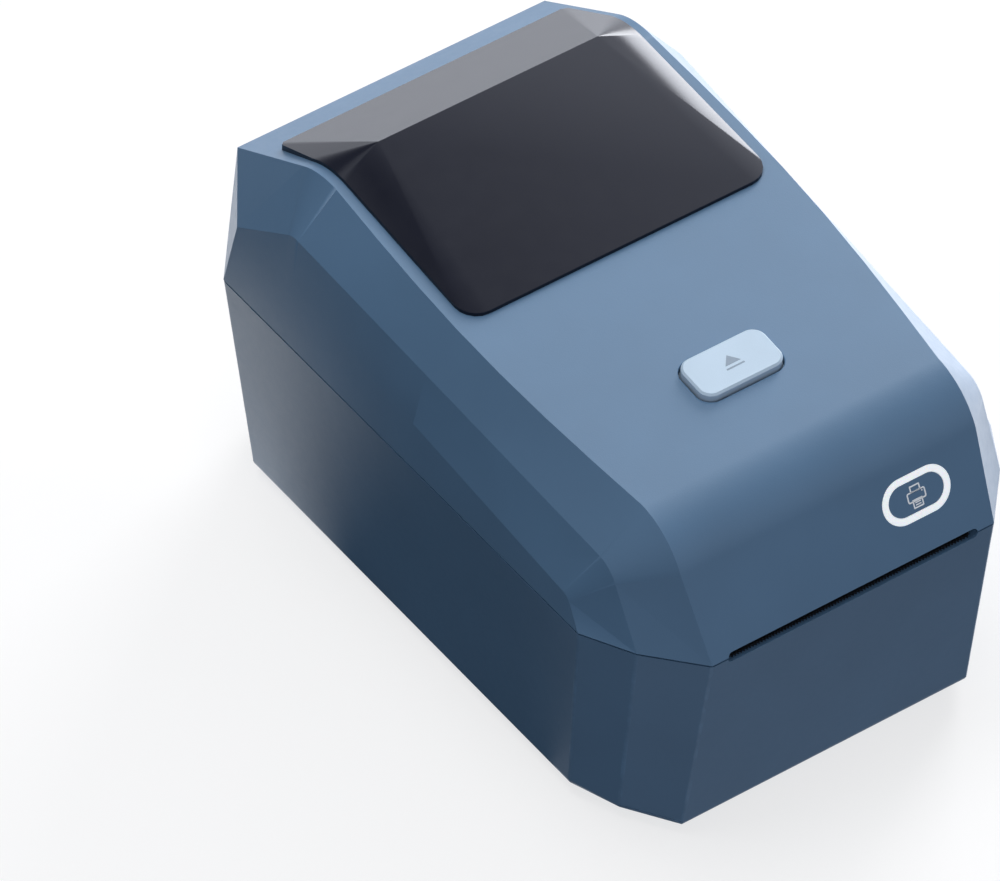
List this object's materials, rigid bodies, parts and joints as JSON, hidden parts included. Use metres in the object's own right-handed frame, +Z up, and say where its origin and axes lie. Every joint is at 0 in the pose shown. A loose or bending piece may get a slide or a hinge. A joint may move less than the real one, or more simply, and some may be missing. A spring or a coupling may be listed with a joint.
{
  "type": "thermal label printer",
  "caption": "Desktop clamshell label printer: faceted case, hinged lid with gloss panel, open and feed buttons, latch, print head, geared platen and centring roll guides.",
  "frame": {"origin": "under the middle of the printer, on the surface that the feet stand on", "axes": "+X to the side of the feed button, +Y from the front to the rear, +Z up"},
  "size_m": [0.141, 0.221, 0.1333],
  "materials": {
    "case_plastic": "fine satin grain, dark blue-grey",
    "lid_plastic": "fine satin grain, blue-grey",
    "inner_plastic": "fine texture, near black",
    "gloss_black": "polished, tinted black",
    "pale_plastic": "satin, pale blue",
    "key_plastic": "satin, blue-grey",
    "ring_plastic": "milky light guide",
    "guide_plastic": "satin, slate grey",
    "gear_plastic": "natural acetal",
    "steel": "ground steel",
    "sheet_steel": "zinc-plated sheet",
    "screw_steel": "zinc-plated screws",
    "brass": "machined brass",
    "rubber": "fine matt rubber",
    "motor_metal": "plated motor can",
    "board": "solder-masked board",
    "black_parts": "moulded black",
    "shell_metal": "tin-plated shell",
    "ceramic": "glazed ceramic",
    "aluminium": "extruded aluminium",
    "spring_steel": "music wire"
  },
  "bodies": {
    "base": {"lower_case": "case_plastic", "roll_tray": "inner_plastic", "rubber_feet": "rubber", "case_screws": "screw_steel", "drive_frame": "sheet_steel", "frame_screws": "screw_steel", "platen_bushings": "gear_plastic", "idler_stud": "steel", "stepper_motor": "motor_metal", "motor_screws": "screw_steel", "circuit_board": "board", "board_screws": "screw_steel", "dc_jack": "black_parts", "usb_port": "shell_metal", "switch_body": "black_parts", "label_sensor": "black_parts", "hinge_pins": "steel"},
    "platen": {"platen_shaft": "steel", "platen_rubber": "rubber", "platen_gear": "gear_plastic"},
    "idler": {"idler_gear": "gear_plastic"},
    "drive_pinion": {"motor_shaft": "steel", "motor_pinion": "brass"},
    "rocker": {"power_rocker": "black_parts"},
    "left_guide": {"guide_left": "guide_plastic"},
    "right_guide": {"guide_right": "guide_plastic"},
    "pinion": {"guide_pinion": "gear_plastic"},
    "left_hub": {"hub_left": "guide_plastic"},
    "right_hub": {"hub_right": "guide_plastic"},
    "lid": {"top_cover": "lid_plastic", "lid_liner": "inner_plastic", "liner_screws": "screw_steel", "gloss_panel": "gloss_black", "tear_bar": "steel", "light_ring": "ring_plastic", "button_board": "board", "latch_spring": "spring_steel", "head_pivot_pin": "steel", "head_springs": "spring_steel"},
    "open_key": {"open_button": "pale_plastic"},
    "feed_key": {"feed_button": "key_plastic"},
    "latch": {"latch_bar": "gear_plastic"},
    "head": {"print_head": "ceramic", "heat_sink": "aluminium"}
  },
  "joints": [
    {"name": "lid_hinge", "type": "hinge", "parent": "base", "child": "lid", "pos_m": [0, 0.107, 0.0752], "axis": [-1, 0, 0], "range_deg": [0, 85]},
    {"name": "open_press", "type": "slide", "parent": "lid", "child": "open_key", "axis": [0, 0.0922, -0.9957], "range_m": [0, 0.002], "stiffness_N_per_m": 350, "springref_m": -0.002},
    {"name": "latch_turn", "type": "hinge", "parent": "lid", "child": "latch", "pos_m": [0, -0.0615, 0.0915], "axis": [-1, 0, 0], "range_deg": [0, 12.74]},
    {"name": "feed_press", "type": "slide", "parent": "lid", "child": "feed_key", "axis": [0, 0.9053, -0.4249], "range_m": [0, 0.0005], "stiffness_N_per_m": 500, "springref_m": -0.001},
    {"name": "head_tilt", "type": "hinge", "parent": "lid", "child": "head", "pos_m": [0, -0.072, 0.0875], "axis": [-1, 0, 0], "range_deg": [0, 3], "stiffness_Nm_per_rad": 1, "springref_deg": -2.86, "deforming": ["head_springs"]},
    {"name": "platen_spin", "type": "hinge", "parent": "base", "child": "platen", "pos_m": [0, -0.0915, 0.068], "axis": [1, 0, 0], "continuous": true},
    {"name": "idler_spin", "type": "hinge", "parent": "base", "child": "idler", "pos_m": [0, -0.07972, 0.0612], "axis": [1, 0, 0], "continuous": true},
    {"name": "motor_spin", "type": "hinge", "parent": "base", "child": "drive_pinion", "pos_m": [0, -0.07228, 0.04525], "axis": [1, 0, 0], "continuous": true},
    {"name": "left_guide_slide", "type": "slide", "parent": "base", "child": "left_guide", "axis": [1, 0, 0], "range_m": [0, 0.03]},
    {"name": "right_guide_slide", "type": "slide", "parent": "base", "child": "right_guide", "axis": [-1, 0, 0], "range_m": [0, 0.03]},
    {"name": "guide_pinion_spin", "type": "hinge", "parent": "base", "child": "pinion", "pos_m": [0, 0.01452, 0.0055], "axis": [0, 0, 1], "range_deg": [0, 214.87]},
    {"name": "left_hub_spin", "type": "hinge", "parent": "left_guide", "child": "left_hub", "pos_m": [-0.036, 0.01452, 0.064], "axis": [1, 0, 0], "continuous": true},
    {"name": "right_hub_spin", "type": "hinge", "parent": "right_guide", "child": "right_hub", "pos_m": [0.036, 0.01452, 0.064], "axis": [1, 0, 0], "continuous": true},
    {"name": "power_rocker_tilt", "type": "hinge", "parent": "base", "child": "rocker", "pos_m": [0.028, 0.104, 0.0206], "axis": [0, 0, 1], "range_deg": [0, 16]}
  ],
  "couplings": [
    {"joint": "latch_turn", "follows": "open_press", "rad_per_m": 111.11},
    {"joint": "idler_spin", "follows": "platen_spin", "ratio": -1.4286},
    {"joint": "motor_spin", "follows": "platen_spin", "ratio": 3.8095},
    {"joint": "right_guide_slide", "follows": "left_guide_slide", "ratio": 1},
    {"joint": "guide_pinion_spin", "follows": "left_guide_slide", "rad_per_m": 125}
  ]
}
